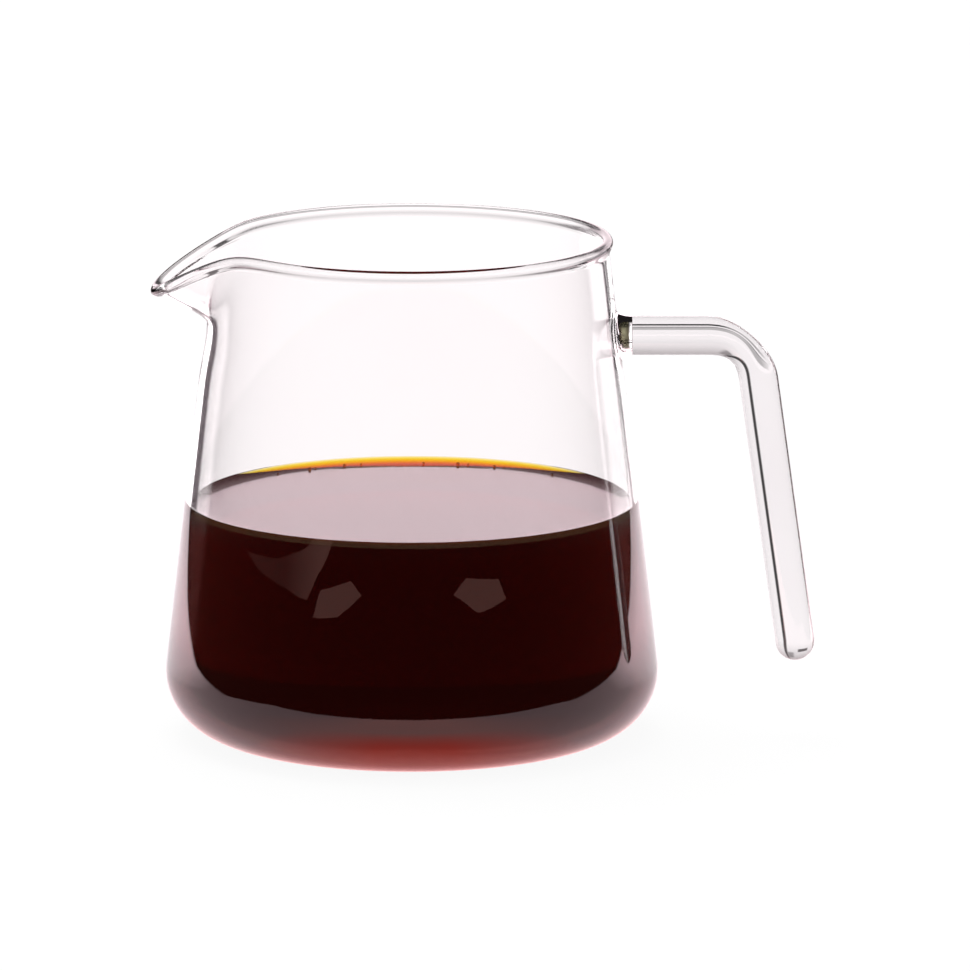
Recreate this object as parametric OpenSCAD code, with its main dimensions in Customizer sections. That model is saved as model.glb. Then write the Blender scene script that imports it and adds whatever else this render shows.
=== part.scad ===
// Glass coffee server: a blown vessel with a pulled spout, a solid glass rod
// handle that is fused to the wall at one foot, and the coffee that stands in it.
// Millimetres. The origin is the centre of the underside, +Z is up, the handle
// points along +X and the spout along -X.

/* [Vessel] */
// Outer diameter of the body at its widest
body_d = 110; // [104:1:120]
// Outer diameter of the wall at the rim, without the bead
neck_d = 87.4; // [80:0.2:92]
// Height from the table to the top of the rim
vessel_h = 112.4; // [106:0.2:124]
// Thickness of the blown wall
wall = 1.4; // [1:0.1:1.8]
// Thickness of the glass in the base
base_t = 2.2; // [1.4:0.1:4]
// Width of the rounded corner at the foot of the wall
corner_w = 15.3; // [10:0.1:20]
// Height of the rounded corner at the foot of the wall
corner_h = 14.6; // [10:0.1:20]
// Thickness of the fire-polished bead round the rim
bead_d = 2.5; // [2:0.1:3.2]

/* [Spout] */
// How far the lip stands out beyond the rim
spout_reach = 13.2; // [8:0.2:16]
// How far the lip droops below the rim
spout_drop = 10.8; // [6:0.2:11.6]
// Height of the part of the wall that is pulled out
spout_h = 17.6; // [16.6:0.2:21]
// Angle from the middle of the spout to its flank at the rim
spout_angle = 17.6; // [12:0.2:22]
// How far the rim draws in on each side of the spout
pinch_depth = 0.4; // [0:0.1:0.8]
// How far the wall draws in under the spout
throat_depth = 0.45; // [0:0.05:0.8]

/* [Handle] */
// Diameter of the glass rod
rod_d = 8.7; // [7:0.1:9.6]
// Thickness of the rod at the middle of its bend, where it was drawn thin
bend_d = 7.4; // [6:0.1:9]
// Radius of the bend at the middle of the rod
bend_r = 11.7; // [9:0.1:15]
// How far the arm's axis lies below the top of the rim
arm_drop = 22.3; // [19:0.1:28]
// Distance from the vessel's axis to the corner where arm and grip would meet
elbow_x = 75.9; // [70:0.1:84]
// Height of the grip's rounded lower end above the table
grip_z = 16.4; // [10:0.2:50]
// Lean of the grip away from the vertical
grip_tilt = 8; // [4:0.5:12]
// Diameter of the foot where the handle is fused to the wall
foot_d = 11.8; // [10.4:0.1:13]
// Length of the foot's fillet along the arm
foot_len = 2.9; // [2:0.1:4]
// Thickening of the wall behind the foot, on its inner side
pad_depth = 1.1; // [0:0.1:1.6]

/* [Coffee] */
// Height where the coffee meets the wall
coffee_z = 53.1; // [30:0.1:66]
// How far the coffee climbs at the wall
meniscus_h = 2.1; // [1:0.1:3]
// Distance over which the climb falls to about a third
meniscus_w = 1.9; // [1:0.1:3]
// Clearance between the coffee and the glass
fill_gap = 0.05; // [0.03:0.01:0.1]

/* [Hidden] */

// Steps of the curves, as counts
corner_steps = 14;
turn_steps = 90;
bead_steps = 9;
rod_sides = 32;
bend_steps = 14;
tip_steps = 7;
foot_steps = 7;
meniscus_steps = 8;

// Wall and corner. The flank is the tangent from the neck to the corner's ellipse.
body_r = body_d / 2;
neck_r = neck_d / 2;
bead_r = bead_d / 2;
bead_z = vessel_h - bead_r;
corner_x = body_r - corner_w;
from_neck = [(neck_r - corner_x) / corner_w, (bead_z - corner_h) / corner_h];
flank_turn = atan2(from_neck[1], from_neck[0]) - acos(1 / norm(from_neck));
flank_foot = [corner_x + corner_w * cos(flank_turn), corner_h + corner_h * sin(flank_turn)];
flank_slope = (flank_foot[0] - neck_r) / (bead_z - flank_foot[1]);
flank_stretch = norm([1, flank_slope]);
function outer_r(z) = flank_foot[0] - flank_slope * (z - flank_foot[1]);
function inner_r(z) = outer_r(z) - wall * flank_stretch;

// Quarter of an ellipse round the corner's centre, up to where the flank leaves it
function corner_points(half_w, half_h) =
    let (last_turn = atan(flank_slope * half_h / half_w))
    [for (k = [0 : corner_steps])
        let (turn = -90 + (90 + last_turn) * k / corner_steps)
        [corner_x + half_w * cos(turn), corner_h + half_h * sin(turn)]];

function backwards(points) = [for (k = [len(points) - 1 : -1 : 0]) points[k]];

// The round shell ends below the spout. The neck's lower edge is buried in its wall.
throat_z = bead_z - spout_h - 2.4 * wall;
throat_h = 0.35 * spout_h;
shell_top = throat_z - 1.9 * throat_h;
joint_overlap = wall;
joint_step = 0.1 * wall;
neck_top = bead_z - 2.1 * bead_r;
level_shares = [0, 0.16, 0.3, 0.42, 0.5, 0.58, 0.67, 0.76, 0.84, 0.92, 1];
levels = [for (share = level_shares) shell_top + (neck_top - shell_top) * share];

// Spout. A bell curve round the vessel pulls the wall out and down, more towards the rim.
spout_z = bead_z - spout_h;
soft_share = 0.05;
throat_share = 0.6;
lip_power = 2.3;
pinch_angle = 2.5 * spout_angle;
pinch_spread = 0.7 * spout_angle;
throat_angle = 1.5 * spout_angle;
function bell(x, power = 2) = exp(-pow(abs(x), power));
function rise(z) =
    let (share = min(1, max(0, (z - spout_z) / spout_h)))
    (1 + soft_share) * share * share / (share + soft_share);
function flank_angle(z) = spout_angle * (throat_share + (1 - throat_share) * rise(z));
function pull_out(a, z) = spout_reach * rise(z) * bell(a / flank_angle(z), lip_power);
function pull_down(a, z) = spout_drop * rise(z) * bell(a / flank_angle(z));
function pinch(a, z) = pinch_depth * rise(z) * bell((abs(a) - pinch_angle) / pinch_spread);
function throat(a, z) = throat_depth * bell((z - throat_z) / throat_h) * bell(a / throat_angle);
function wall_point(a, z) = [
    outer_r(z) + pull_out(a, z) - pinch(a, z) - throat(a, z),
    z - pull_down(a, z)
];

// Unit vector from the outer wall into the glass, in the upright plane at angle a
probe = 0.02 * wall;
function inward(a, z) =
    let (along = wall_point(a, z + probe) - wall_point(a, z - probe))
    [-along[1], along[0]] / norm(along);

// Glass depth at a point of the wall, with the thick pad behind the handle's foot
arm_z = vessel_h - arm_drop;
pad_r = 0.42 * foot_d;
function from_foot(a, z) = norm([(180 - abs(a)) * PI / 180 * inner_r(arm_z), z - arm_z]);
function glass_depth(a, z) = wall + pad_depth * bell(from_foot(a, z) / pad_r);

// One upright section of the neck: outer wall, bead and inner wall
bead_inset = bead_r - wall * flank_stretch;
bead_wrap = 130;
function section(a) =
    let (
        tuck_out = [outer_r(shell_top - joint_overlap) - joint_step, shell_top - joint_overlap],
        tuck_in = [inner_r(shell_top - joint_overlap) + joint_step, shell_top - joint_overlap],
        outer = [for (k = [0 : len(levels) - 1])
            wall_point(a, levels[k]) - [k == 0 ? joint_step : 0, 0]],
        inner = [for (k = [0 : len(levels) - 1])
            let (tuck = k == 0 ? joint_step : 0)
            wall_point(a, levels[k]) + (glass_depth(a, levels[k]) - tuck) * inward(a, levels[k])],
        middle = wall_point(a, bead_z) + [bead_inset, 0],
        into_bead = middle - outer[len(outer) - 1],
        heading = atan2(into_bead[1], into_bead[0]),
        bead = [for (k = [0 : bead_steps])
            let (turn = heading - bead_wrap + 2 * bead_wrap * k / bead_steps)
            middle + bead_r * [cos(turn), sin(turn)]]
    )
    concat([tuck_out], outer, bead, backwards(inner), [tuck_in]);

// Skin between rings of equal length, as triangles. Each ring is one row of points.
function skin(rings, count, closed) =
    [for (i = [0 : (closed ? rings : rings - 1) - 1], j = [0 : count - 1])
        let (
            here = i * count,
            next = (i + 1) % rings * count,
            up = (j + 1) % count
        )
        each [[here + j, here + up, next + up], [here + j, next + up, next + j]]];

module neck() {
    sections = [for (i = [0 : turn_steps - 1]) section(360 * i / turn_steps - 180)];
    points = [for (i = [0 : turn_steps - 1], p = sections[i])
        let (a = 360 * i / turn_steps - 180)
        [-p[0] * cos(a), -p[0] * sin(a), p[1]]];
    polyhedron(points, skin(turn_steps, len(sections[0]), true));
}

module shell() {
    rotate_extrude($fn = 180)
        polygon(concat(
            [[0, 0]],
            corner_points(corner_w, corner_h),
            [[outer_r(shell_top), shell_top], [inner_r(shell_top), shell_top]],
            backwards(corner_points(corner_w - wall, corner_h - base_t)),
            [[0, base_t]]
        ));
}

// Blown glass vessel with base, flank, spout and fire-polished rim
module vessel() {
    color([0.87, 0.9, 0.92, 0.45]) {
        shell();
        neck();
    }
}

// Rod. The arm leaves the foot level, turns down through the bend and leans outwards.
rod_r = rod_d / 2;
foot_r = foot_d / 2;
foot_end = outer_r(arm_z) + foot_len;
bend_turn = 90 - grip_tilt;
bend_mid = [elbow_x - bend_r * tan(bend_turn / 2), arm_z - bend_r];
grip_top = bend_mid + bend_r * [sin(bend_turn), cos(bend_turn)];
tip_mid_z = grip_z + rod_r;
grip_len = (grip_top[1] - tip_mid_z) / sin(bend_turn);
function heading(turn) = [cos(turn), -sin(turn)];

// Stations of the rod: middle of the ring, turn of its axis, and radius
function bend_station(share) = [
    bend_mid + bend_r * [sin(bend_turn * share), cos(bend_turn * share)],
    bend_turn * share,
    rod_r - (rod_d - bend_d) / 2 * pow(sin(180 * share), 2)
];
function tip_station(share) = [
    grip_top + (grip_len + rod_r * sin(90 * share)) * heading(bend_turn),
    bend_turn,
    rod_r * cos(90 * share)
];
stations = concat(
    [[[foot_end, arm_z], 0, rod_r]],
    [for (k = [0 : bend_steps]) bend_station(k / bend_steps)],
    [for (k = [0 : tip_steps - 1]) tip_station(k / tip_steps)]
);
function ring(station) =
    [for (k = [0 : rod_sides - 1])
        let (
            around = 360 * k / rod_sides,
            out = station[2] * cos(around),
            mid = station[0]
        )
        [
            mid[0] + out * sin(station[1]),
            station[2] * sin(around),
            mid[1] + out * cos(station[1])
        ]];

// Solid glass rod: arm, bend and grip, with a rounded free end
module handle_rod() {
    pole = grip_top + (grip_len + rod_r) * heading(bend_turn);
    last = (len(stations) - 1) * rod_sides;
    points = concat(
        [for (station = stations) each ring(station)],
        [[pole[0], 0, pole[1]]]
    );
    faces = concat(
        skin(len(stations), rod_sides, false),
        [[for (k = [rod_sides - 1 : -1 : 0]) k]],
        [for (k = [0 : rod_sides - 1]) [len(points) - 1, last + k, last + (k + 1) % rod_sides]]
    );
    color([0.87, 0.9, 0.92, 0.6]) polyhedron(points, faces);
}

// Flared foot of the handle: its inner end follows the outside of the wall
module handle_foot() {
    buried = 2 * wall;
    fillet = [for (k = [0 : foot_steps])
        let (share = k / foot_steps)
        [foot_r - (foot_r - rod_r) * sin(90 * share), foot_len * (1 - cos(90 * share))]];
    color([0.62, 0.66, 0.6, 0.7])
        difference() {
            translate([foot_end - foot_len, 0, arm_z])
                rotate([0, 90, 0])
                    rotate_extrude($fn = 96)
                        polygon(concat([[0, -buried], [foot_r, -buried]], fillet, [[0, foot_len]]));
            translate([0, 0, arm_z - foot_d])
                cylinder(
                    h = 2 * foot_d,
                    r1 = outer_r(arm_z - foot_d),
                    r2 = outer_r(arm_z + foot_d),
                    $fn = 180
                );
        }
}

// Coffee up to its meniscus, clear of the glass all round
module coffee() {
    level = coffee_z - meniscus_h;
    edge_r = inner_r(coffee_z) - fill_gap;
    reach = 3 * meniscus_w;
    climb = [for (k = [0 : meniscus_steps])
        let (from_wall = reach * pow(k / meniscus_steps, 2))
        [edge_r - from_wall, level + meniscus_h * exp(-from_wall / meniscus_w)]];
    color([0.16, 0.05, 0.02])
        rotate_extrude($fn = 180)
            polygon(concat(
                [[0, base_t + fill_gap]],
                corner_points(corner_w - wall - fill_gap, corner_h - base_t - fill_gap),
                climb,
                [[0, level]]
            ));
}

vessel();
handle_foot();
handle_rod();
coffee();
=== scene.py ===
"""Glass coffee server: the looks of its vessel, handle, coffee and bubbles, and its studio."""

import functools
import math

import bmesh
import bpy
from bpy.props import FloatProperty, FloatVectorProperty, IntProperty, PointerProperty
from mathutils import Matrix, Vector


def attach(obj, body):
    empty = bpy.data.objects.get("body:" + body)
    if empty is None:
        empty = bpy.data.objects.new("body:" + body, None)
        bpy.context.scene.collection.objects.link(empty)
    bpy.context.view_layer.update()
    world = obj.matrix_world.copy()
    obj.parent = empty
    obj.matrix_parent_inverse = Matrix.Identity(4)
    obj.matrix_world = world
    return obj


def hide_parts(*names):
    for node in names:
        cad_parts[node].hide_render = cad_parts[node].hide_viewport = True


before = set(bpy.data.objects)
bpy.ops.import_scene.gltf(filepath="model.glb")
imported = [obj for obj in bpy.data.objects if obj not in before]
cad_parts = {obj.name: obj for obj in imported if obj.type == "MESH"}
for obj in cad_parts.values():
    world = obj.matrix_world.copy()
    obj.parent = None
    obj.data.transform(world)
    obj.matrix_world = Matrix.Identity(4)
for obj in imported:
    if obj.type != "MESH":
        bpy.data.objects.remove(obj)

bl_info = {
    "name": "Glass Coffee Server",
    "version": (1, 0, 0),
    "blender": (4, 5, 0),
    "location": "3D View > Sidebar > Coffee Server",
    "description": "Builds a blown glass coffee server with its fused rod handle and black coffee",
    "category": "Add Mesh",
}

MM = 0.001
TURN = 2 * math.pi
# Edges that turn more than this stay sharp
SHARP = math.radians(38)
# Scale of the soft clouds in the glass's tint
GLASS_CLOUDS = 26.0


def length(name, text, default, low=0.0, high=1.0):
    """A size in metres."""
    return FloatProperty(
        name=name, description=text, default=default, min=low, max=high,
        subtype="DISTANCE", unit="LENGTH", precision=4)


def angle(name, text, degrees):
    """A turn, given in degrees."""
    return FloatProperty(
        name=name, description=text, default=math.radians(degrees),
        subtype="ANGLE", unit="ROTATION")


def plain(name, text, default, low=0.0, high=10.0):
    """A number without a unit."""
    return FloatProperty(name=name, description=text, default=default, min=low, max=high)


def count(name, text, default, low=3, high=720):
    """A whole number of steps."""
    return IntProperty(name=name, description=text, default=default, min=low, max=high)


def colour(name, text, default):
    """A linear colour without alpha."""
    return FloatVectorProperty(
        name=name, description=text, default=default, size=3, min=0.0, max=1.0,
        subtype="COLOR")


class VesselSizes(bpy.types.PropertyGroup):
    """Sizes of the blown vessel and its spout"""

    body_d: length("Body", "Outer diameter of the body at its widest", 110 * MM)
    neck_d: length("Neck", "Outer diameter of the wall at the rim", 87.4 * MM)
    height: length("Height", "From the table to the top of the rim", 112.395 * MM)
    wall: length("Wall", "Thickness of the blown wall", 1.4 * MM)
    base_t: length("Base", "Thickness of the glass in the base", 2.2 * MM)
    corner_w: length("Corner width", "Width of the rounded corner", 15.3 * MM)
    corner_h: length("Corner height", "Height of the rounded corner", 14.6 * MM)
    bead_d: length("Bead", "Thickness of the fire-polished bead", 2.5 * MM)
    spout_reach: length("Spout reach", "How far the lip stands out", 13.16 * MM)
    spout_drop: length("Spout drop", "How far the lip droops", 10.8 * MM)
    spout_h: length("Spout height", "Height of the wall that is pulled out", 17.6 * MM)
    spout_angle: angle("Spout flank", "From the middle of the spout to its flank", 17.6)
    pinch_depth: length("Pinch", "How far the rim draws in beside the spout", 0.4 * MM)
    throat_depth: length("Throat", "How far the wall draws in under the spout", 0.45 * MM)
    turn_steps: count("Steps", "Steps round the vessel", 360)


class HandleSizes(bpy.types.PropertyGroup):
    """Sizes of the solid rod handle and its fused foot"""

    rod_d: length("Rod", "Diameter of the glass rod", 8.7 * MM)
    bend_d: length("Bend thickness", "Thickness of the rod at its bend", 7.4 * MM)
    bend_r: length("Bend radius", "Radius of the bend at the rod's middle", 11.7 * MM)
    arm_drop: length("Arm drop", "Arm's axis below the top of the rim", 22.3 * MM)
    elbow_x: length("Elbow", "Vessel's axis to where arm and grip would meet", 75.88 * MM)
    grip_z: length("Grip end", "Height of the grip's lower end", 16.4 * MM)
    grip_tilt: angle("Grip lean", "Lean of the grip away from the vertical", 8)
    foot_d: length("Foot", "Diameter of the fused foot", 11.8 * MM)
    foot_len: length("Foot length", "Length of the foot's fillet", 2.9 * MM)
    pad_depth: length("Pad", "Thickening of the wall behind the foot", 1.1 * MM)
    rod_sides: count("Sides", "Sides of the rod", 96)


class CoffeeSizes(bpy.types.PropertyGroup):
    """Sizes of the coffee and its bubbles"""

    fill_z: length("Fill", "Height where the coffee meets the wall", 53.1 * MM)
    climb_h: length("Climb", "How far the coffee climbs at the wall", 1.3 * MM)
    climb_w: length("Climb width", "Distance over which the climb fades", 1.4 * MM)
    soak: length("Soak", "How far the coffee's skin reaches into the glass", 0.1 * MM)
    bubble_d: length("Bubble", "Diameter of the largest bubble", 0.9 * MM)


class Finishes(bpy.types.PropertyGroup):
    """Colours and optical values of the glass and the coffee"""

    glass_ior: plain("Glass refraction", "Refractive index of borosilicate glass", 1.47, 1.0, 2.0)
    rod_tint: colour("Rod tint", "Faint colour of the thick rod", (0.825, 0.793, 0.807))
    # Painted shade: glass seen edge-on is darkened to this colour, in place of the dark studio
    # bent through it
    painted_edge_shade: colour("Edge tint", "Dark colour of the glass where it is seen edge-on",
                      (0.018, 0.014, 0.016))
    glass_tint: colour("Glass tint", "Faint colour of the clear glass", (0.992, 0.958, 0.967))
    # Painted shade: the joint's dark ring stands in for light bent away in the fused fillet
    fused_painted_shade: colour("Fused glass", "Dark colour in the fused joint", (0.02, 0.016, 0.007))
    fused_light: colour("Fused streaks", "Lighter streaks in the fused joint", (0.13, 0.12, 0.05))
    coffee_ior: plain("Coffee refraction", "Refractive index of coffee", 1.333, 1.0, 2.0)
    coffee_tint: colour("Coffee light", "Colour that a thin film of coffee lets through",
                        (0.985, 0.872, 0.0))
    coffee_depth: FloatProperty(
        name="Coffee strength", description="How fast the coffee takes up light, per metre",
        default=3600.0, min=0.0, max=20000.0)
    # Painted glow: the coffee gives off this light itself, in place of light it would scatter back
    coffee_painted_glow: colour("Coffee glow", "Light that the coffee scatters back",
                        (0.0085, 0.0006, 0.0003))
    # Painted light: the glass round the coffee takes the colour of the light that comes through
    # the coffee
    coffee_light_tint: colour("Stain", "Tint that the coffee lends to the glass round it", (1.0, 0.45, 0.42))
    wave: plain("Waviness", "Strength of the blown glass's soft waves", 0.05, 0.0, 1.0)


class StudioSettings(bpy.types.PropertyGroup):
    """Camera and light of the plain studio"""

    distance: length("Distance", "Camera to the vessel's middle", 2.5, 0.1, 10.0)
    elevation: angle("Elevation", "Camera's height above the horizon", 11.3)
    aim_x: length("Aim across", "Sideways place of the view's middle", 16.35 * MM, -1.0, 1.0)
    aim_z: length("Aim height", "Height of the view's middle", 55 * MM)
    aim_up: length("Aim lift", "Lift of the camera along its own up direction", 1.05 * MM)
    lens: plain("Lens", "Focal length on the film's long side, in millimetres", 415.61, 1, 1000)
    film: plain("Film", "Long side of the film, in millimetres", 36.0, 1, 100)
    cast: colour("Cast", "Colour of the studio's light in reflections", (1.0, 0.85, 0.894))
    backdrop: plain("Backdrop", "Brightness of the backdrop in reflections", 2.3)
    table_bright: plain("Table brightness", "Brightness of the table in reflections", 4.0)
    table_middle: colour("Table middle", "Table behind the vessel", (0.32, 0.29, 0.30))
    table_side: colour("Table side", "Table beside the vessel", (0.76, 0.57, 0.61))
    table_front: colour("Table front", "Table beside the vessel's foot", (0.35, 0.27, 0.285))
    # Painted shade on the table, seen only in reflections: the coffee's red-brown shade before the
    # vessel, and a darker ring close round it
    table_coffee_shade: colour("Table warm", "Table before the vessel", (0.57, 0.30, 0.29))
    table_near_shade: colour("Table near", "Table close to the vessel", (0.37, 0.25, 0.255))
    table_glow: colour("Table glow", "Light that the coffee casts on it", (1.0, 0.13, 0.10))
    front: plain("Front", "Brightness of the dark side of the studio in reflections", 0.012)
    within: plain("Within", "Brightness of what the inside of the glass mirrors", 0.6)
    card: colour("Card", "Colour of the cards in reflections", (0.93, 0.49, 0.42))
    through: plain("Through glass", "Brightness of what shows through clear glass", 1.12)
    mist: colour("Mist", "Colour of what shows at the edges of the glass", (1.0, 0.975, 0.98))


class ServerSettings(bpy.types.PropertyGroup):
    """All settings of the glass coffee server"""

    vessel: PointerProperty(type=VesselSizes)
    handle: PointerProperty(type=HandleSizes)
    coffee: PointerProperty(type=CoffeeSizes)
    finish: PointerProperty(type=Finishes)
    studio: PointerProperty(type=StudioSettings)


def settings():
    """The scene's settings of the server."""
    return bpy.context.scene.coffee_server


def bell(x, power=2.0):
    """A bump that is 1 in its middle and fades to both sides."""
    return math.exp(-abs(x) ** power)


def soft_step(x):
    """From 0 to 1 while x goes from 0 to 1, with soft ends."""
    x = min(1.0, max(0.0, x))
    return x * x * (3 - 2 * x)


class Wall:
    """The lines of the blown wall. A place on it is an angle from the spout and a height."""

    # The spout starts softly, over this share of its height
    SOFT_SHARE = 0.05
    # How wide the spout is at its throat, as a share of its lip, and how square the lip is
    THROAT_SHARE, LIP_POWER = 0.6, 2.3
    # How far the throat lies below the spout, in walls, and its share of the spout's height
    THROAT_DROP, THROAT_SPAN = 2.4, 0.35
    # Where the pinch lies, and how wide pinch and throat are, in flanks of the spout
    PINCH_AT, PINCH_WIDTH, THROAT_WIDTH = 2.5, 0.7, 1.5
    # The plain wall ends this far below the throat, in heights of the throat
    PLAIN_GAP = 1.9
    # The neck ends this far below the bead's middle, and turns into it over this, in radii
    NECK_GAP, NECK_MIX = 2.1, 1.3
    # How far the bead reaches round, to each side of its crest
    BEAD_WRAP = math.radians(118)
    # Radius of the pad behind the foot, in diameters of the foot
    PAD_SHARE = 0.42

    def __init__(self, s):
        v = self.v = s.vessel
        h = self.h = s.handle
        self.bead_r = v.bead_d / 2
        self.bead_z = v.height - self.bead_r
        self.corner_x = v.body_d / 2 - v.corner_w
        across = (v.neck_d / 2 - self.corner_x) / v.corner_w
        up = (self.bead_z - v.corner_h) / v.corner_h
        turn = math.atan2(up, across) - math.acos(1 / math.hypot(across, up))
        self.foot_x = self.corner_x + v.corner_w * math.cos(turn)
        self.foot_z = v.corner_h * (1 + math.sin(turn))
        self.slope = (self.foot_x - v.neck_d / 2) / (self.bead_z - self.foot_z)
        self.stretch = math.hypot(1, self.slope)
        self.spout_z = self.bead_z - v.spout_h
        self.throat_z = self.spout_z - self.THROAT_DROP * v.wall
        self.throat_h = self.THROAT_SPAN * v.spout_h
        self.plain_top = self.throat_z - self.PLAIN_GAP * self.throat_h
        self.neck_top = self.bead_z - self.NECK_GAP * self.bead_r
        self.bead_inset = self.bead_r - v.wall * self.stretch
        self.arm_z = v.height - h.arm_drop
        self.pad_r = self.PAD_SHARE * h.foot_d

    def outer(self, z):
        """Radius of the plain outer wall at a height."""
        return self.foot_x - self.slope * (z - self.foot_z)

    def inner(self, z):
        """Radius of the plain inner wall at a height."""
        return self.outer(z) - self.v.wall * self.stretch

    def rise(self, z):
        """How far the spout is pulled out at a height, as a share of its lip."""
        share = min(1.0, max(0.0, (z - self.spout_z) / self.v.spout_h))
        return (1 + self.SOFT_SHARE) * share * share / (share + self.SOFT_SHARE)

    @functools.lru_cache(maxsize=None)
    def point(self, a, z):
        """Outer wall at angle a and height z, as radius and height."""
        v, rise = self.v, self.rise(z)
        flank = v.spout_angle * (self.THROAT_SHARE + (1 - self.THROAT_SHARE) * rise)
        out = v.spout_reach * rise * bell(a / flank, self.LIP_POWER)
        pinch = v.pinch_depth * rise * bell(
            (abs(a) - self.PINCH_AT * v.spout_angle) / (self.PINCH_WIDTH * v.spout_angle))
        throat = (v.throat_depth * bell((z - self.throat_z) / self.throat_h)
                  * bell(a / (self.THROAT_WIDTH * v.spout_angle)))
        down = v.spout_drop * rise * bell(a / flank)
        return Vector((self.outer(z) + out - pinch - throat, z - down))

    @functools.lru_cache(maxsize=None)
    def inward(self, a, z):
        """Unit normal from the outer wall into the glass."""
        step = 0.02 * self.v.wall
        along = self.point(a, z + step) - self.point(a, z - step)
        return Vector((-along.y, along.x)).normalized()

    @functools.lru_cache(maxsize=None)
    def bead_middle(self, a):
        """Middle of the bead's section at angle a."""
        return self.point(a, self.bead_z) + Vector((self.bead_inset, 0))

    @functools.lru_cache(maxsize=None)
    def bead_heading(self, a):
        """Where the bead's crest points at angle a."""
        into = self.bead_middle(a) - self.point(a, self.neck_top)
        return math.atan2(into.y, into.x)

    def corner(self, half_w, half_h, steps):
        """Quarter of an ellipse from the base up to where the flank leaves it."""
        last = math.atan(self.slope * half_h / half_w)
        for k in range(steps + 1):
            t = -math.pi / 2 + (math.pi / 2 + last) * k / steps
            yield Vector((self.corner_x + half_w * math.cos(t),
                          self.v.corner_h + half_h * math.sin(t)))

    def section(self, corner_steps=22, flank_steps=14, neck_steps=44, bead_steps=30):
        """The upright section of the plain vessel, from the axis round the rim and back."""
        v, far = self.v, math.pi
        outside = list(self.corner(v.corner_w, v.corner_h, corner_steps))
        inside = list(self.corner(v.corner_w - v.wall, v.corner_h - v.base_t, corner_steps))
        for k in range(1, flank_steps + 1):
            z = self.foot_z + (self.plain_top - self.foot_z) * k / flank_steps
            outside.append(Vector((self.outer(z), z)))
            inside.append(Vector((self.inner(z), z)))
        for k in range(1, neck_steps + 1):
            z = self.plain_top + (self.neck_top - self.plain_top) * k / neck_steps
            outside.append(Vector((self.outer(z), z)))
            inside.append(Vector((self.outer(z), z)) + v.wall * self.inward(far, z))
        middle, heading = self.bead_middle(far), self.bead_heading(far)
        bead = []
        for k in range(bead_steps + 1):
            t = heading - self.BEAD_WRAP + 2 * self.BEAD_WRAP * k / bead_steps
            bead.append(middle + self.bead_r * Vector((math.cos(t), math.sin(t))))
        into = easing(outside[-2], outside[-1], bead[0], bead[1])
        back = easing(bead[-2], bead[-1], inside[-1], inside[-2])
        return ([Vector((0, 0))] + outside + into + bead + back + inside[::-1]
                + [Vector((0, v.base_t))])

    def shaped(self, co):
        """Where a point of the plain vessel ends up once spout, throat and pad are formed."""
        turned = math.atan2(-co.y, -co.x)
        # Spout and handle are the same on both sides, so one side's places serve for both
        a = round(abs(turned), 6)
        flat = Vector((math.hypot(co.x, co.y), co.z))
        depth = (self.outer(flat.y) - flat.x) / self.stretch
        z = round(flat.y + depth * self.slope / self.stretch, 7)
        away = math.hypot((math.pi - a) * self.inner(self.arm_z), z - self.arm_z)
        pad = self.h.pad_depth * bell(away / self.pad_r) * soft_step(depth / self.v.wall)
        walled = self.point(a, z) + (depth + pad) * self.inward(a, z)
        share = soft_step((flat.y - self.neck_top) / (self.bead_r * self.NECK_MIX))
        if share > 0:
            turn = self.bead_heading(a) - self.bead_heading(math.pi)
            arm = flat - self.bead_middle(math.pi)
            moved = self.bead_middle(a) + Vector((
                arm.x * math.cos(turn) - arm.y * math.sin(turn),
                arm.x * math.sin(turn) + arm.y * math.cos(turn)))
            walled = walled.lerp(moved, share)
        return Vector((-walled.x * math.cos(turned), -walled.x * math.sin(turned), walled.y))


def easing(before, start, end, after, steps=6):
    """Points between start and end on a curve that leaves and arrives without a kink."""
    reach = (end - start).length
    leave = (start - before).normalized() * reach
    arrive = (after - end).normalized() * reach
    points = []
    for k in range(1, steps):
        t = k / steps
        points.append(
            (2 * t ** 3 - 3 * t ** 2 + 1) * start + (t ** 3 - 2 * t ** 2 + t) * leave
            + (3 * t ** 2 - 2 * t ** 3) * end + (t ** 3 - t ** 2) * arrive)
    return points


def spun(outline, steps, sectors=12):
    """A closed body: the outline, from axis to axis, spun once round the upright axis.

    One sector is spun and the others are turned copies of it, which is much faster.
    """
    bm = bmesh.new()
    row = [bm.verts.new((p.x, 0, p.y)) for p in outline]
    row_edges = [bm.edges.new(pair) for pair in zip(row, row[1:])]
    bmesh.ops.spin(
        bm, geom=row + row_edges, cent=(0, 0, 0), axis=(0, 0, 1), angle=TURN / sectors,
        steps=steps // sectors, use_merge=False)
    sector = bm.verts[:] + bm.edges[:] + bm.faces[:]
    for k in range(1, sectors):
        copied = bmesh.ops.duplicate(bm, geom=sector)["geom"]
        bmesh.ops.rotate(
            bm, verts=[g for g in copied if isinstance(g, bmesh.types.BMVert)],
            cent=(0, 0, 0), matrix=Matrix.Rotation(TURN * k / sectors, 3, "Z"))
    bmesh.ops.remove_doubles(bm, verts=bm.verts, dist=0.001 * MM)
    bmesh.ops.recalc_face_normals(bm, faces=bm.faces)
    return bm


def placed(bm, name, materials):
    """An object in the scene, made from its mesh, with its materials."""
    mesh = bpy.data.meshes.new(name)
    bm.to_mesh(mesh)
    bm.free()
    for material in materials:
        mesh.materials.append(material)
    piece = bpy.data.objects.new(name, mesh)
    bpy.context.scene.collection.objects.link(piece)
    return piece


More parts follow.
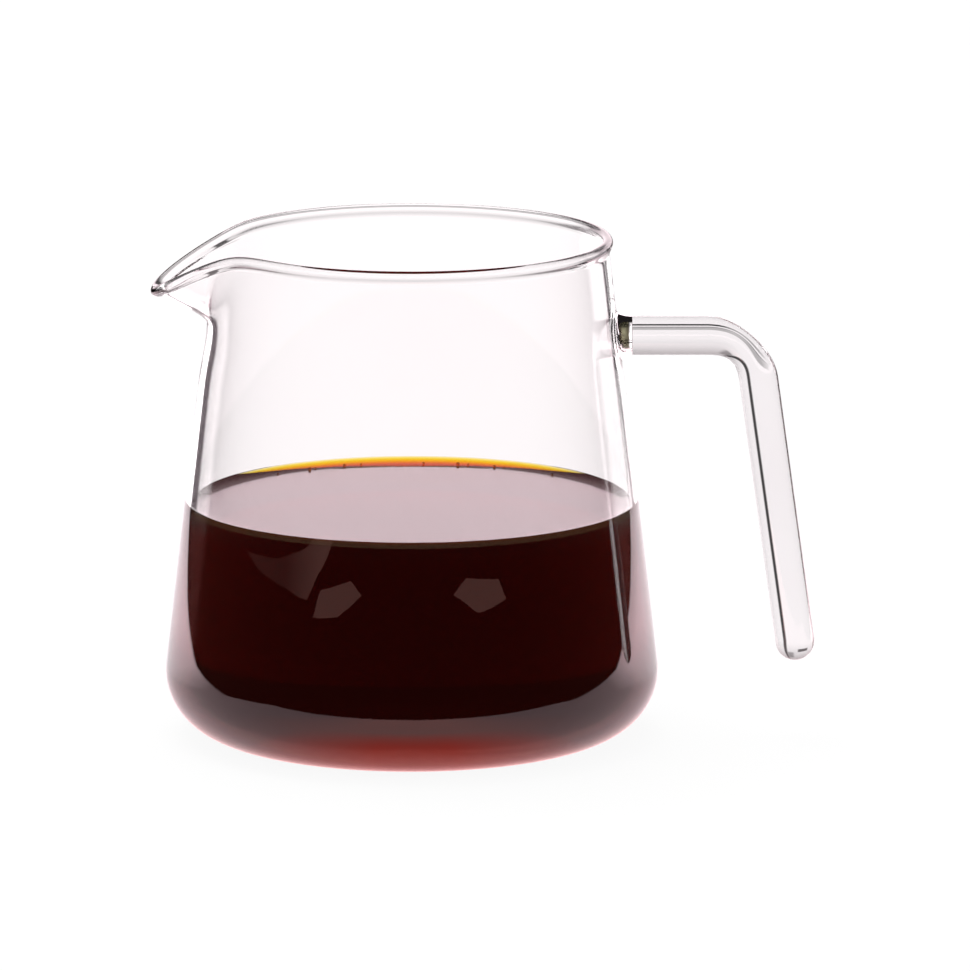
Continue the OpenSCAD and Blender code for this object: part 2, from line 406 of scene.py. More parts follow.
def finished(bm, name, materials, stands_for=()):
    """Makes a piece of the server on the one body, with its materials, and hides the model's parts
    that it stands for.

    It is smooth but for its sharp corners, which keep light from bending wrongly beside them.
    """
    for face in bm.faces:
        face.smooth = True
    for edge in bm.edges:
        edge.smooth = edge.calc_face_angle(0.0) < SHARP
    piece = placed(bm, name, materials)
    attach(piece, "root")
    if stands_for:
        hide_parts(*stands_for)


class Tree:
    """Short calls for building a node tree."""

    def __init__(self, owner):
        owner.use_nodes = True
        self.tree = owner.node_tree
        self.tree.nodes.clear()

    def add(self, kind, inputs=None, **values):
        node = self.tree.nodes.new("ShaderNode" + kind)
        for name, value in values.items():
            setattr(node, name, value)
        for name, value in (inputs or {}).items():
            if isinstance(value, bpy.types.NodeSocket):
                self.tree.links.new(value, node.inputs[name])
            else:
                node.inputs[name].default_value = value
        return node

    def math(self, operation, a, b=0.0, clamp=False):
        return self.add("Math", {0: a, 1: b}, operation=operation, use_clamp=clamp).outputs[0]

    def times(self, first, *others):
        for other in others:
            first = self.math("MULTIPLY", first, other)
        return first

    def most(self, first, *others):
        for other in others:
            first = self.math("MAXIMUM", first, other)
        return first

    def rest(self, share):
        """What is left of one."""
        return self.math("SUBTRACT", 1.0, share)

    def apart(self, vector):
        """The three parts of a vector."""
        return self.add("SeparateXYZ", {0: vector}).outputs[:]

    def inside(self, value, low, high, soft):
        """One where the value lies between low and high, with soft edges."""
        up = self.math("DIVIDE", self.math("SUBTRACT", value, low), soft)
        down = self.math("DIVIDE", self.math("SUBTRACT", high, value), soft)
        up = self.math("ADD", up, 0.5, True)
        return self.times(up, self.math("ADD", down, 0.5, True))

    def ramp(self, value, start, end):
        """From 0 at start to 1 at end, which may lie below start."""
        share = self.math("SUBTRACT", value, start)
        return self.math("DIVIDE", share, end - start, True)

    def fade(self, value, start, end, first, last):
        """From first, where the value is start, to last, where it is end."""
        return self.add("MapRange", {
            "Value": value, "From Min": start, "From Max": end,
            "To Min": first, "To Max": last}).outputs[0]

    def blend(self, share, a, b, past=False):
        """A colour between a and b, or past b where the share may be more than 1."""
        node = self.add("Mix", {"Factor": share, 6: a, 7: b}, data_type="RGBA",
                        clamp_factor=not past)
        return node.outputs[2]

    def clouded(self, place, scale, detail, a, b):
        """A colour that drifts between a and b in soft clouds."""
        cloud = self.add("TexNoise", {"Vector": place, "Scale": scale, "Detail": detail})
        return self.blend(cloud.outputs["Fac"], a, b)

    def clear_body(self, tint, ior, more=(), filling=None):
        """The material of a clear body, with more values, and with what fills it."""
        shader = self.add("BsdfPrincipled", {
            "Base Color": tint, "Roughness": 0.0, "IOR": ior, "Transmission Weight": 1.0,
            **dict(more)})
        output = self.add("OutputMaterial", {"Surface": shader.outputs[0]})
        if filling:
            self.tree.links.new(filling, output.inputs["Volume"])


def new_material(name):
    """A new material, its tree, and the place on the piece."""
    made = bpy.data.materials.new(name)
    t = Tree(made)
    return made, t, t.add("TexCoord").outputs["Object"]


def rgba(tint):
    """A colour with full alpha."""
    return (*tint, 1.0)


def grey(value):
    """A neutral colour."""
    return (value, value, value, 1.0)


def wall_shade_line(t, x, y, z):
    """Where the painted edge shade shows on the wall: it starts above the coffee, and by the
    handle it thins out towards it.
    """
    fill_z = settings().coffee.fill_z
    low = t.ramp(z, fill_z + 33 * MM, fill_z + 13 * MM)
    thin = t.times(low, 0.45, t.math("GREATER_THAN", x, 0.0))
    return t.times(t.inside(z, fill_z, 1.0, 2 * MM), t.rest(thin))


def rim_shade_line(t, x, y, z):
    """Where the painted edge shade shows on the rim: strong at the lip, on the front flanks and at
    the handle's end.
    """
    flank = t.ramp(t.math("ABSOLUTE", x), 18 * MM, 36 * MM)
    strength = t.math("ADD", t.times(flank, 0.33), 0.62)
    front = t.times(t.ramp(y, 20 * MM, -20 * MM), strength)
    ends = t.most(t.ramp(x, -36 * MM, -50 * MM), t.ramp(x, 10 * MM, 36 * MM))
    return t.math("ADD", t.most(front, t.times(ends, 0.95)), 0.03)


def blown_glass(name, line=(), veil=0.0, where=None, shine=1.0, tint=None, below=None):
    """Clear glass with soft blown waves and a trace of lilac that comes and goes.

    Seen edge-on it takes a painted dark line, with a painted veil that thickens towards it:
    painted shade that stands in for the dark studio bent through the glass. The line is given as
    where it starts to show, where it is full, and where it ends and is gone again, as slants. The
    slant is 0 where a face is seen straight on and 1 where it is seen edge-on. Where says how
    strong the painted line and veil are in each place. Below the top of the coffee the glass can
    pass over into another tint, painted light.
    """
    veil_reach, veil_overlap, veil_power = 0.22, 0.02, 2.4
    f = settings().finish
    made, t, place = new_material(name)
    tint = tint or f.glass_tint
    tint = t.clouded(place, GLASS_CLOUDS, 2.0, rgba(tint), rgba([0.5 * (1 + c) for c in tint]))
    # Painted light: below the coffee's top the glass takes the colour of the light that comes
    # through the coffee
    if below:
        fill_z = settings().coffee.fill_z
        deep = t.ramp(t.apart(place)[2], fill_z - 1.5 * MM, fill_z - 5 * MM)
        tint = t.blend(deep, tint, rgba(below))
    # Painted shade: the glass darkens where it is seen edge-on, in place of the dark studio bent
    # through it
    if line:
        first, full, last, gone = line
        slant = t.add("LayerWeight", {"Blend": 0.5}).outputs["Facing"]
        thick = t.ramp(slant, first - veil_reach, first + veil_overlap)
        thick = t.times(t.math("POWER", thick, veil_power), veil)
        dark = t.times(t.most(t.ramp(slant, first, full), thick), t.ramp(slant, gone, last))
        if where:
            dark = t.times(dark, where(t, *t.apart(place)))
        tint = t.blend(dark, tint, rgba(f.painted_edge_shade))
    waves = t.add("TexNoise", {"Vector": place, "Scale": 70.0, "Detail": 1.0})
    bump = t.add("Bump", {
        "Strength": f.wave, "Distance": 0.5 * MM, "Height": waves.outputs["Fac"]})
    t.clear_body(tint, f.glass_ior, {
        "Specular Tint": grey(shine), "Normal": bump.outputs["Normal"]})
    return made


def wetted_glass():
    """Inner face of the glass where coffee lies against it, so that it hardly shines."""
    made, t, place = new_material("glass wetted by coffee")
    tint = t.clouded(place, GLASS_CLOUDS, 2.0, grey(1.0), grey(0.99))
    t.clear_body(tint, settings().finish.glass_ior, {"Specular Tint": grey(0.0)})
    return made


def fused_glass(start, size):
    """Glass of the joint: a dark ring of painted shade, in place of the light bent away in the
    fused fillet, with an olive heart, clear where it meets the arm.

    The ring begins at start, along the arm, and size is the length of the joint.
    """
    f = settings().finish
    made, t, place = new_material("fused joint glass")
    x = t.apart(place)[0]
    drawn = t.add("Mapping", {"Vector": place, "Scale": (500.0, 420.0, 420.0)})
    streaks = t.add("TexNoise", {"Vector": drawn.outputs[0], "Scale": 1.0, "Detail": 3.0})
    heart_start, heart_end, ring_end, clear_start = (
        start + share * size for share in (0.2, 0.5, 0.72, 0.84))
    heart = t.inside(x, heart_start, heart_end, 0.2 * size)
    heart = t.times(heart, t.ramp(streaks.outputs["Fac"], 0.35, 0.6))
    tint = t.blend(heart, rgba(f.fused_painted_shade), rgba(f.fused_light))
    tint = t.blend(t.ramp(x, ring_end, clear_start), tint, rgba(f.rod_tint))
    bump = t.add("Bump", {"Strength": 0.3, "Distance": 0.3 * MM, "Height": streaks.outputs["Fac"]})
    t.clear_body(tint, f.glass_ior, {
        "Roughness": 0.04, "Specular Tint": grey(0.03), "Normal": bump.outputs["Normal"]})
    return made


def black_coffee():
    """Clear coffee that takes up blue and green fast, so that thin films glow amber, with a faint
    painted glow of its own.
    """
    f = settings().finish
    made, t, place = new_material("black coffee")
    tint = t.clouded(place, 45.0, 3.0, grey(1.0), (1.0, 0.97, 0.93, 1.0))
    filling = t.add("VolumeAbsorption", {"Color": rgba(f.coffee_tint), "Density": f.coffee_depth})
    # The emission is a painted glow that stands in for light the coffee scatters back
    t.clear_body(tint, f.coffee_ior, {
        "Specular Tint": grey(0.3), "Emission Color": rgba(f.coffee_painted_glow),
        "Emission Strength": 1.0}, filling.outputs[0])
    return made


class SERVER_OT_vessel(bpy.types.Operator):
    """Make the blown vessel with its spout and rim"""

    bl_idname = "coffee_server.vessel"
    bl_label = "Vessel"

    # The vessel's materials, in the order of their slots
    ROUND_COFFEE, INSIDE, WETTED, RIM_BELOW, WALL, RIM_ABOVE, BY_HANDLE = range(7)
    # Faces up to this far from the bead's middle are the rim's, in radii of the bead, and
    # faces that look up more than this are the inside of the base
    BEAD_NEAR, LOOKS_UP = 1.08, 0.5

    def material_of(self, face, wall, coffee):
        """Which of the vessel's materials a face takes."""
        middle = face.calc_center_median()
        across = Vector((middle.x, middle.y, 0))
        turn = round(abs(math.atan2(-middle.y, -middle.x)), 6)
        from_bead = Vector((across.length, middle.z)) - wall.bead_middle(turn)
        if from_bead.length < self.BEAD_NEAR * wall.bead_r:
            return self.RIM_BELOW if from_bead.y < 0 else self.RIM_ABOVE
        if face.normal.dot(across) < 0 or face.normal.z > self.LOOKS_UP:
            dry_z = coffee.fill_z - coffee.climb_h
            return self.WETTED if middle.z < dry_z else self.INSIDE
        if middle.z < coffee.fill_z:
            return self.ROUND_COFFEE
        return self.WALL if middle.x < 0 else self.BY_HANDLE

    def execute(self, context):
        s = settings()
        wall = Wall(s)
        bm = spun(wall.section(), s.vessel.turn_steps)
        for vert in bm.verts:
            if vert.co.z > wall.plain_top - wall.throat_h:
                vert.co = wall.shaped(vert.co)
        for face in bm.faces:
            face.material_index = self.material_of(face, wall, s.coffee)
        # The lines given to these glasses are painted edge shade, and the tint below the coffee is
        # painted light of the coffee's colour. The rim's top and underside are two copies of one
        # glass that differ in their painted shade and in how strongly they mirror.
        finished(bm, "vessel_glass", [
            blown_glass("glass of the wall round the coffee", below=s.finish.coffee_light_tint),
            blown_glass("glass of the wall inside"),
            wetted_glass(),
            blown_glass("fire-polished rim glass below", (0.4, 0.56, 0.86, 0.94), 0.05),
            blown_glass("glass of the wall outside", (0.63, 0.69, 0.757, 0.772), 0.45,
                        wall_shade_line, shine=0.6),
            blown_glass("fire-polished rim glass above", (0.45, 0.62, 1.1, 1.2), 0.05,
                        rim_shade_line, shine=0.35),
            blown_glass("glass of the wall by the handle", (0.70, 0.725, 0.75, 0.762), 0.24,
                        wall_shade_line, shine=0.6),
        ], ["vessel"])
        return {"FINISHED"}


class SERVER_OT_rod(bpy.types.Operator):
    """Make the solid rod handle with its thinned bend and rounded end"""

    bl_idname = "coffee_server.rod"
    bl_label = "Handle rod"

    def execute(self, context):
        s = settings()
        h, wall = s.handle, Wall(s)
        rod_r = h.rod_d / 2
        foot_end = wall.outer(wall.arm_z) + h.foot_len
        turn = math.pi / 2 - h.grip_tilt
        mid = Vector((h.elbow_x - h.bend_r * math.tan(turn / 2), 0, wall.arm_z - h.bend_r))
        top = mid + h.bend_r * Vector((math.sin(turn), 0, math.cos(turn)))
        down = Vector((math.cos(turn), 0, -math.sin(turn)))
        grip = (top.z - h.grip_z - rod_r) / math.sin(turn)
        overlap = 0.15 * MM
        stations = [(Vector((foot_end - overlap, 0, wall.arm_z)), 0.0, rod_r)]
        bend_steps, tip_steps, straight_steps = 40, 14, 6
        for k in range(1, straight_steps):
            x = foot_end + (mid.x - foot_end) * k / straight_steps
            stations.append((Vector((x, 0, wall.arm_z)), 0.0, rod_r))
        for k in range(bend_steps + 1):
            share = k / bend_steps
            out = Vector((math.sin(turn * share), 0, math.cos(turn * share)))
            thin = (h.rod_d - h.bend_d) / 2 * math.sin(math.pi * share) ** 2
            stations.append((mid + h.bend_r * out, turn * share, rod_r - thin))
        for k in range(1, straight_steps + 1):
            stations.append((top + down * grip * k / straight_steps, turn, rod_r))
        for k in range(1, tip_steps):
            t = math.pi / 2 * k / tip_steps
            stations.append((top + down * (grip + rod_r * math.sin(t)), turn,
                             rod_r * math.cos(t)))
        bm = bmesh.new()
        # The ring starts upright, facing along the arm
        stand = Matrix.Rotation(math.pi / 2, 4, "Y")
        bmesh.ops.create_circle(bm, cap_ends=True, radius=1.0, segments=h.rod_sides)
        cap = bm.faces[:]
        last = Matrix.Identity(4)
        for k, (place, bent, radius) in enumerate(stations):
            here = (Matrix.Translation(place) @ Matrix.Rotation(bent, 4, "Y") @ stand
                    @ Matrix.Diagonal((radius, radius, radius, 1.0)))
            if k:
                grown = bmesh.ops.extrude_face_region(bm, geom=cap)["geom"]
                if k > 1:
                    bmesh.ops.delete(bm, geom=cap, context="FACES_ONLY")
                cap = [g for g in grown if isinstance(g, bmesh.types.BMFace)]
            moving = {v for f in cap for v in f.verts}
            bmesh.ops.transform(bm, matrix=here @ last.inverted(), verts=list(moving))
            last = here
        pole = top + down * (grip + rod_r)
        hub = bmesh.ops.poke(bm, faces=cap)["verts"][0]
        hub.co = pole
        bmesh.ops.recalc_face_normals(bm, faces=bm.faces)
        glass = blown_glass("glass of the rod", tint=s.finish.rod_tint)
        finished(bm, "rod_glass", [glass], ["handle_rod"])
        return {"FINISHED"}


class SERVER_OT_foot(bpy.types.Operator):
    """Make the flared foot that fuses the handle to the wall"""

    bl_idname = "coffee_server.foot"
    bl_label = "Handle foot"

    def execute(self, context):
        s = settings()
        h, wall = s.handle, Wall(s)
        rod_r, foot_r = h.rod_d / 2, h.foot_d / 2
        # A hair of air keeps the wall as clear behind the joint as beside it
        air = 0.03 * MM
        wall_x = wall.outer(wall.arm_z)
        face_steps, flare_steps, end_steps, turn_steps = 8, 20, 7, 120
        outline = [Vector((0, air))]
        for k in range(1, face_steps + 1):
            outline.append(Vector((foot_r * k / face_steps, air)))
        for k in range(flare_steps + 1):
            t = math.pi / 2 * k / flare_steps
            outline.append(Vector((foot_r - (foot_r - rod_r) * math.sin(t),
                                   h.foot_len * (1 - math.cos(t)))))
        for k in range(end_steps - 1, -1, -1):
            outline.append(Vector((rod_r * k / end_steps, h.foot_len)))
        bm = spun(outline, turn_steps)
        bmesh.ops.rotate(bm, verts=bm.verts, cent=(0, 0, 0),
                         matrix=Matrix.Rotation(math.pi / 2, 3, "Y"))
        for vert in bm.verts:
            follow = 1 - soft_step(vert.co.x / h.foot_len)
            z = wall.arm_z + vert.co.z
            bulge = math.sqrt(wall.outer(z) ** 2 - vert.co.y ** 2) - wall_x
            vert.co += Vector((wall_x + follow * bulge, 0, wall.arm_z))
        finished(bm, "foot_glass", [fused_glass(wall_x, h.foot_len)],
                 ["handle_foot"])
        return {"FINISHED"}


class SERVER_OT_coffee(bpy.types.Operator):
    """Fill the vessel with coffee up to its meniscus"""

    bl_idname = "coffee_server.coffee"
    bl_label = "Coffee"

    def execute(self, context):
        s = settings()
        v, c, wall = s.vessel, s.coffee, Wall(s)
        level = c.fill_z - c.climb_h
        corner_steps, side_steps, climb_steps, level_steps = 22, 12, 40, 8
        outline = [Vector((0, v.base_t - c.soak))]
        outline += wall.corner(v.corner_w - v.wall + c.soak, v.corner_h - v.base_t + c.soak,
                               corner_steps)
        for k in range(1, side_steps):
            z = wall.foot_z + (c.fill_z - wall.foot_z) * k / side_steps
            outline.append(Vector((wall.inner(z) + c.soak, z)))
        edge = wall.inner(c.fill_z)
        # So far from the wall the surface is level
        reach = 6 * c.climb_w
        for k in range(climb_steps + 1):
            away = (reach + c.soak) * (k / climb_steps) ** 2 - c.soak
            outline.append(Vector((edge - away, level + c.climb_h * math.exp(-away / c.climb_w))))
        for k in range(1, level_steps + 1):
            outline.append(Vector(((edge - reach) * (1 - k / level_steps), level)))
        bm = spun(outline, v.turn_steps)
        finished(bm, "black_coffee", [black_coffee()], ["coffee"])
        return {"FINISHED"}


class SERVER_OT_bubbles(bpy.types.Operator):
    """Float a few small bubbles at the back edge of the coffee"""

    bl_idname = "coffee_server.bubbles"
    bl_label = "Bubbles"

    # Angle from the back of the vessel, towards the handle, and size as a share of the largest
    PLACES = ((-42, 0.5), (-31, 0.8), (-29, 0.45), (-20, 0.7), (-15, 0.5), (3, 0.6),
              (13, 0.9), (16, 0.55), (24, 0.7), (27, 0.4), (44, 0.6))
    # Distance from the wall in widths of the climb, how far up the climb they float, and how
    # much of their radius they stand above it
    FROM_WALL, ON_CLIMB, AFLOAT = 2.2, 0.2, 0.25

    def execute(self, context):
        s = settings()
        c, wall = s.coffee, Wall(s)
        level = c.fill_z - c.climb_h
        bm = bmesh.new()
        for degrees, share in self.PLACES:
            radius = c.bubble_d / 2 * share
            away = wall.inner(c.fill_z) - self.FROM_WALL * c.climb_w - radius * share
            turn = math.radians(degrees)
            middle = Vector((away * math.sin(turn), away * math.cos(turn),
                             level + c.climb_h * self.ON_CLIMB + radius * self.AFLOAT))
            bmesh.ops.create_uvsphere(
                bm, u_segments=32, v_segments=20, radius=radius,
                matrix=Matrix.Translation(middle))
        bmesh.ops.recalc_face_normals(bm, faces=bm.faces)
        finished(bm, "surface_bubbles", [bubble_film()])
        return {"FINISHED"}


def bubble_film():
    """Thin film of a bubble: it bends light a little and shines at its edge."""
    made, t, place = new_material("coffee bubble film")
    tint = t.clouded(place, 900.0, 1.0, (0.5, 0.34, 0.24, 1.0), (0.72, 0.56, 0.42, 1.0))
    film_ior = 1.12
    t.clear_body(tint, film_ior)
    return made


class Rays:
    """How a ray came to the world or the table, as shares of 0 or 1.

    Bounced: mirrored. Once: mirrored once at most. Bent: through glass. Edge: bent through
    one thickness of glass, as at a rim, a rod or the edge of the wall. Mirrored: bounced and
    not edge, as off the outside of the glass or off the coffee.
    """

    def __init__(self, t):
        path = t.add("LightPath").outputs
        self.diffuse = path["Is Diffuse Ray"]
        self.bounced = t.math("GREATER_THAN", path["Glossy Depth"], 0.5)
        self.once = t.math("LESS_THAN", path["Glossy Depth"], 1.5)
        self.bent = t.math("GREATER_THAN", path["Transmission Depth"], 0.5)
        self.edge = t.times(self.bent, t.math("LESS_THAN", path["Transmission Depth"], 2.5))
        self.mirrored = t.times(self.bounced, t.rest(self.edge))


class SERVER_OT_stage(bpy.types.Operator):
    """Set the white table, the studio light and the camera"""

    bl_idname = "coffee_server.stage"
    bl_label = "Stage"

    # Name, sides, bearing from the back, height, half width, half height in metres, turn
    # in degrees, and how much it leans sideways
    CARDS = (
        ("left_card", 5, -144.8, 0.0495, 0.155, 0.0054, 176, -0.054),
        ("left_far_card", 3, -121.5, 0.0445, 0.4, 0.0107, -75, -0.07),
        ("right_card", 5, 147.0, 0.0525, 0.17, 0.0054, 186, 0.031),
    )
    CARDS_AWAY = 0.7
    CARD_LIGHT, FAR_CARD_SHARE = 1.15, 0.26
    LAMP_SIZE, LAMP_POWER, LAMP_PLACE = 1.2, 22.0, (-0.3, 0.5, 1.6)
    # Bands of the world: from, to and softness, as heights of the sight line from -1 to 1 or
    # as bearings in degrees from straight behind the vessel
    BACKDROP = -52, 52, 6
    # The edges' white turns grey with height: from, to, and its brightness at both
    LID = -0.1, 0.75, 1.0, 0.42
    # Brightness of what they show once mirrored too: the backdrop's, and the rest's
    ECHO, FAINT_ECHO = 2.5, 0.1
    # An upright screen, and how dark it is, draws the lines along the grip
    SCREEN, SCREEN_DARK = (18.5, 26, 3), 0.95
    # Low slats, in front and behind, draw the lines along the arm
    SLATS = (((-0.575, -0.515, 0.014), 1.0), ((-0.472, -0.44, 0.014), 0.75),
             ((-0.44, -0.365, 0.02), 0.5))
    # High panels, each with height and bearing, draw the lines in the bend and at the end
    PANELS = (((0.11, 0.24, 0.03), (-30, -5, 3), 0.9), ((0.25, 0.62, 0.08), (4, 20, 5), 0.585))
    # Brightness of the world and of the table's paper in the light that falls on things
    WORLD_LIGHT, PAPER = 0.9, 0.88
    # Nearly all of the table's white is its own, and the rest takes the vessel's shadow
    OWN_WHITE = 0.93
    TABLE_HALF = 6.0
    # Bands of the table in reflections, in metres: from, to and softness. Beyond its sides
    # and its front it is dark, and it dims towards the back, from 1 to 0.3
    TABLE_WIDE, TABLE_DEEP = (-0.222, 0.275, 0.012), (-0.125, 30.0, 0.012)
    TABLE_DIMS, SIDES_DIM = (0.28, 0.42, 1.0, 0.3), (0.14, 0.26, 1.0, 0.3)
    # Where the painted coffee shade, the painted shade close round the vessel and the coffee's
    # glow lie on the table
    WARM_WIDE, GLOW_WIDE = (-0.045, 0.045, 0.05), (-0.024, 0.026, 0.03)
    NEAR_RING, GLOW_RING = (-1.0, 0.053, 0.01), (0.048, 0.064, 0.012)

    def execute(self, context):
        s = settings().studio
        scene = context.scene
        self.paint_world(scene, s)
        self.lay_table(s)
        self.hang_lamps(scene)
        self.hang_cards(s)
        self.place_camera(scene, s)
        scene.view_settings.view_transform = "Standard"
        scene.cycles.use_denoising = True
        scene.cycles.max_bounces = 32
        scene.cycles.transmission_bounces = 32
        scene.cycles.glossy_bounces = 16
        scene.cycles.transparent_max_bounces = 16
        scene.cycles.caustics_refractive = True
        scene.cycles.caustics_reflective = False
        return {"FINISHED"}

    def mirrored_world(self, t, s, rays, back, up):
        """What the outside of the glass mirrors: a pale backdrop, and a pale ring all round."""
        ring = t.times(t.ramp(up, 0.13, 0.17), rays.once)
        pale = t.times(t.most(back, ring), t.ramp(up, 0.3, 0.25))
        dim = t.math("ADD", t.times(rays.bent, s.within), s.front)
        level = t.fade(pale, 0.0, 1.0, dim, s.backdrop)
        return t.blend(level, grey(0.0), rgba(s.cast), past=True)

    def edge_world(self, t, s, rays, back, bearing, up):
        """What the edges of the glass show: white, greyer above, with dark screens in it."""
        lid = t.fade(up, *self.LID)
        echo = t.math("ADD", t.times(back, self.ECHO), self.FAINT_ECHO)
        facing = t.fade(rays.bounced, 0.0, 1.0, 1.0, echo)
        screen = t.times(t.inside(bearing, *self.SCREEN), self.SCREEN_DARK)
        slats = t.most(*(t.times(t.inside(up, *band), dark) for band, dark in self.SLATS))
        turned = t.math("ABSOLUTE", bearing)
        slats = t.times(slats, t.most(t.ramp(turned, 30, 10), t.ramp(turned, 90, 120)))
        panels = t.most(*(t.times(t.inside(up, *band), t.inside(bearing, *sides), dark)
                          for band, sides, dark in self.PANELS))
        line = t.most(screen, slats, panels)
        level = t.times(lid, t.rest(line), facing, s.through)
        level = t.math("ADD", level, s.front)
        return t.blend(level, grey(0.0), rgba(s.mist), past=True)

    def paint_world(self, scene, s):
        """The studio all round, as each kind of ray sees it."""
        world = bpy.data.worlds.new("studio")
        scene.world = world
        t = Tree(world)
        rays = Rays(t)
        across, along, up = t.apart(t.add("TexCoord").outputs["Generated"])
        bearing = t.math("DEGREES", t.math("ARCTAN2", across, along))
        back = t.inside(bearing, *self.BACKDROP)
        clear = t.blend(rays.bent, grey(1.0), grey(s.through))
        seen = t.blend(rays.edge, clear, self.edge_world(t, s, rays, back, bearing, up))
        seen = t.blend(rays.mirrored, seen, self.mirrored_world(t, s, rays, back, up))
        seen = t.blend(rays.diffuse, seen, grey(self.WORLD_LIGHT))
        light = t.add("Background", {"Color": seen, "Strength": 1.0})
        t.add("OutputWorld", {"Surface": light.outputs[0]})

    def mirrored_table(self, t, s, rays):
        """What the outside of the glass mirrors of the table, as shares of its brightness."""
        x, y, _ = t.apart(t.add("NewGeometry").outputs["Position"])
        aside = t.times(t.ramp(t.math("ABSOLUTE", x), 0.08, 0.2), t.fade(y, *self.SIDES_DIM))
        shown = t.blend(aside, rgba(s.table_middle), rgba(s.table_side))
        shown = t.blend(t.ramp(y, 0.08, 0.02), shown, rgba(s.table_front))
        # Painted shade and light on the table: the coffee's red-brown shade before the vessel, a
        # darker ring close round it, and the coffee's glow
        ahead = t.times(t.inside(x, *self.WARM_WIDE), t.ramp(y, -0.03, -0.06))
        shown = t.blend(ahead, shown, rgba(s.table_coffee_shade))
        reach = t.math("SQRT", t.math("ADD", t.times(x, x), t.times(y, y)))
        shown = t.blend(t.inside(reach, *self.NEAR_RING), shown, rgba(s.table_near_shade))
        glow = t.times(t.inside(reach, *self.GLOW_RING), t.inside(x, *self.GLOW_WIDE),
                       t.math("LESS_THAN", y, 0.0))
        shown = t.blend(glow, shown, rgba(s.table_glow))
        white = t.times(t.inside(x, *self.TABLE_WIDE), t.inside(y, *self.TABLE_DEEP),
                        t.fade(y, *self.TABLE_DIMS))
        shown = t.blend(white, grey(s.front / s.table_bright), shown)
        # What the inside of the glass mirrors has no such edges
        return t.blend(rays.bent, shown, rgba([s.within / s.table_bright * c for c in s.cast]))

    def lay_table(self, s):
        """The white table: clear behind the glass's edges, and painted in reflections."""
        bm = bmesh.new()
        bmesh.ops.create_grid(bm, x_segments=8, y_segments=8, size=self.TABLE_HALF)
        # A hair below the vessel's base, so that the two faces don't fight
        bmesh.ops.translate(bm, verts=bm.verts, vec=(0, 0, -0.02 * MM))
        made = bpy.data.materials.new("white table top")
        t = Tree(made)
        rays = Rays(t)
        paper = t.add("BsdfDiffuse", {"Color": grey(self.PAPER)}).outputs[0]
        clear = t.blend(rays.bent, grey(1.0), grey(s.through))
        white = t.add("Emission", {"Color": clear, "Strength": 1.0}).outputs[0]
        painted = t.add("Emission", {
            "Color": self.mirrored_table(t, s, rays), "Strength": s.table_bright}).outputs[0]
        top = t.add("MixShader", {0: self.OWN_WHITE, 1: paper, 2: white}).outputs[0]
        for share, shown in (
                (rays.diffuse, paper),
                (rays.edge, t.add("BsdfTransparent").outputs[0]),
                (rays.mirrored, painted)):
            top = t.add("MixShader", {0: share, 1: top, 2: shown}).outputs[0]
        t.add("OutputMaterial", {"Surface": top})
        placed(bm, "white_table", [made])

    def hang_lamps(self, scene):
        """A soft lamp that lights the table and shows neither in mirrors nor through glass."""
        lamp = bpy.data.lights.new("top_softbox", "AREA")
        lamp.shape, lamp.size, lamp.size_y = "RECTANGLE", self.LAMP_SIZE, self.LAMP_SIZE
        lamp.energy = self.LAMP_POWER
        piece = bpy.data.objects.new("top_softbox", lamp)
        piece.location = self.LAMP_PLACE
        piece.rotation_euler = piece.location.to_track_quat("Z", "Y").to_euler()
        piece.visible_glossy = piece.visible_transmission = False
        scene.collection.objects.link(piece)

    def hang_cards(self, s):
        """Small pale cards that only show as reflections on the vessel's dark side."""
        made, t, place = new_material("pale card")
        x = t.apart(place)[0]
        # The far card on the left is dimmer
        dimmer = rgba([self.FAR_CARD_SHARE * c for c in s.card])
        tint = t.blend(t.ramp(x, -0.5, -0.62), rgba(s.card), dimmer)
        glow = t.add("Emission", {"Color": tint, "Strength": self.CARD_LIGHT})
        t.add("OutputMaterial", {"Surface": glow.outputs[0]})
        for name, sides, bearing, height, wide, tall, turn, lean in self.CARDS:
            bm = bmesh.new()
            bmesh.ops.create_circle(bm, cap_ends=True, radius=1.0, segments=sides)
            for matrix in (
                    Matrix.Rotation(math.radians(turn), 4, "Z"),
                    Matrix.Diagonal((wide, tall, 1.0, 1.0)),
                    Matrix(((1, 0, 0, 0), (lean, 1, 0, 0), (0, 0, 1, 0), (0, 0, 0, 1))),
                    Matrix.Rotation(math.pi / 2, 4, "X"),
                    Matrix.Translation((0, self.CARDS_AWAY, height)),
                    Matrix.Rotation(math.radians(-bearing), 4, "Z")):
                bmesh.ops.transform(bm, matrix=matrix, verts=bm.verts)
            piece = placed(bm, name, [made])
            piece.visible_camera = piece.visible_diffuse = piece.visible_shadow = False
            piece.visible_transmission = False

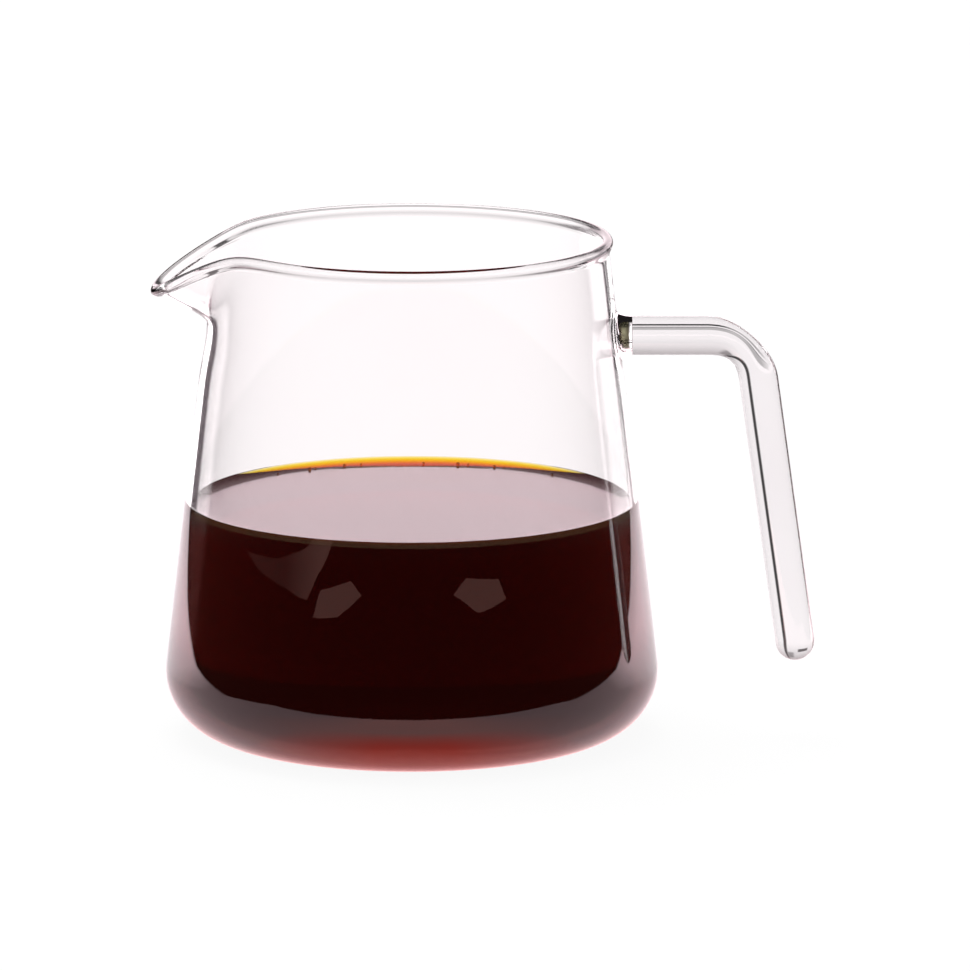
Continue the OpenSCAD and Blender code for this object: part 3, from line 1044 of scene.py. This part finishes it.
    def place_camera(self, scene, s):
        """A long lens, a little above the horizon."""
        data = bpy.data.cameras.new("camera")
        data.sensor_width = s.film
        data.lens = s.lens
        data.clip_start, data.clip_end = 0.05, 50.0
        camera = bpy.data.objects.new("camera", data)
        scene.collection.objects.link(camera)
        back = Vector((0, -math.cos(s.elevation), math.sin(s.elevation)))
        up = Vector((0, math.sin(s.elevation), math.cos(s.elevation)))
        camera.location = Vector((s.aim_x, 0, s.aim_z)) + back * s.distance + up * s.aim_up
        camera.rotation_euler = back.to_track_quat("Z", "Y").to_euler()
        scene.camera = camera


class SERVER_PT_panel(bpy.types.Panel):
    """Sizes, finishes and steps of the glass coffee server"""

    bl_label = "Glass Coffee Server"
    bl_idname = "SERVER_PT_panel"
    bl_space_type = "VIEW_3D"
    bl_region_type = "UI"
    bl_category = "Coffee Server"

    def draw(self, context):
        s = context.scene.coffee_server
        for title, group, steps in (
                ("Vessel", s.vessel, ("vessel",)),
                ("Handle", s.handle, ("foot", "rod")),
                ("Coffee", s.coffee, ("coffee", "bubbles")),
                ("Finishes", s.finish, ()),
                ("Studio", s.studio, ("stage",))):
            box = self.layout.box()
            box.label(text=title)
            for name in group.__annotations__:
                box.prop(group, name)
            for step in steps:
                box.operator("coffee_server." + step)


CLASSES = (
    VesselSizes, HandleSizes, CoffeeSizes, Finishes, StudioSettings, ServerSettings,
    SERVER_OT_vessel, SERVER_OT_foot, SERVER_OT_rod, SERVER_OT_coffee, SERVER_OT_bubbles,
    SERVER_OT_stage, SERVER_PT_panel,
)


def register():
    for part in CLASSES:
        bpy.utils.register_class(part)
    bpy.types.Scene.coffee_server = PointerProperty(type=ServerSettings)


def unregister():
    del bpy.types.Scene.coffee_server
    for part in reversed(CLASSES):
        bpy.utils.unregister_class(part)


def main():
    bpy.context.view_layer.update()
    register()
    steps = bpy.ops.coffee_server
    steps.stage()
    steps.vessel()
    steps.foot()
    steps.rod()
    steps.coffee()
    steps.bubbles()


if __name__ == "__main__":
    main()
